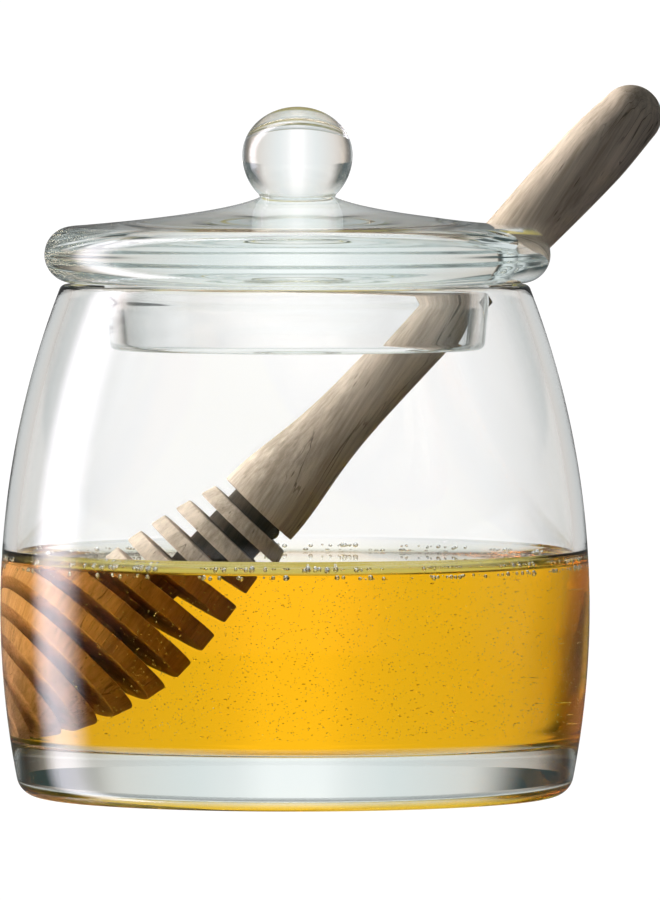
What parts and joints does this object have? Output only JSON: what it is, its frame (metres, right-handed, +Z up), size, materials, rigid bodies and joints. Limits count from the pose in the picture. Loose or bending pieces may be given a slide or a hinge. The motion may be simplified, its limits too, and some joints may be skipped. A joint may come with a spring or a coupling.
{
  "type": "honey pot with dipper",
  "caption": "Barrel-shaped clear glass pot with a loose knobbed glass lid, honey in its lower third, and a turned oak dipper that leans out through a notch in the lid.",
  "frame": {"origin": "centre of the jar's flat underside, on the jar's axis", "axes": "+Z up along the jar's axis; +X towards the side where the dipper's handle leans out; +Y to the back, away from the picture's camera"},
  "size_m": [0.1202, 0.107, 0.1289],
  "materials": {
    "clear_glass": "clear, polished, blown and pressed glass",
    "honey": "clear golden liquid honey with small air bubbles",
    "oak": "turned oak, grey-brown, fine sanded, open pores"
  },
  "bodies": {
    "root": {"glass_jar": "clear_glass", "glass_lid": "clear_glass", "honey": "honey", "oak_dipper": "oak"}
  },
  "joints": []
}
